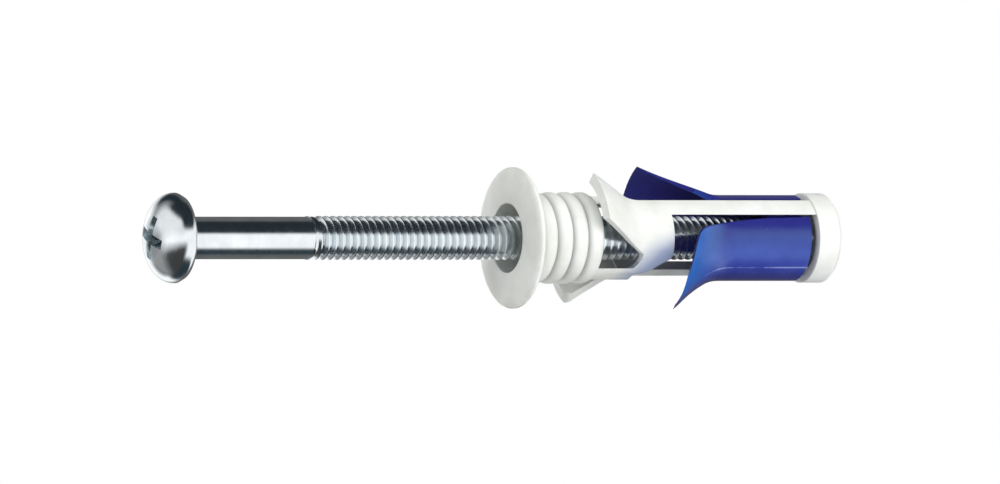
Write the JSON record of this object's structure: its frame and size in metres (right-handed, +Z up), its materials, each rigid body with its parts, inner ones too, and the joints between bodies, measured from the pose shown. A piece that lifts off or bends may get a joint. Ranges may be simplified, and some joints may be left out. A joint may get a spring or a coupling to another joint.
{
  "type": "drywall anchor",
  "caption": "Hollow-wall anchor: pan-head machine screw in a flanged plastic sleeve with a ringed neck, flared holding wings and a winged carrier that the screw draws to the wall",
  "frame": {"origin": "on the screw's axis, in the plane of the flange's front rim", "axes": "+X along the screw from its head to the rear collar, +Z up, -Y the side the picture shows"},
  "size_m": [0.0669, 0.0132, 0.0128],
  "materials": {
    "screw_zinc": "bright zinc plate",
    "sleeve_nylon": "satin moulded",
    "carrier_plastic": "gloss moulded",
    "nut_zinc": "bright zinc plate"
  },
  "bodies": {
    "sleeve": {"sleeve": "sleeve_nylon"},
    "screw": {"machine_screw": "screw_zinc"},
    "carrier": {"wing_carrier": "carrier_plastic", "nut": "nut_zinc"}
  },
  "joints": [
    {"name": "screw_turn", "type": "hinge", "parent": "sleeve", "child": "screw", "pos_m": [0, 0, 0], "axis": [1, 0, 0], "range_deg": [0, 1440]},
    {"name": "carrier_draw", "type": "slide", "parent": "sleeve", "child": "carrier", "axis": [-1, 0, 0], "range_m": [0, 0.00285]}
  ],
  "couplings": [
    {"joint": "carrier_draw", "follows": "screw_turn", "m_per_rad": 0.00011141}
  ]
}
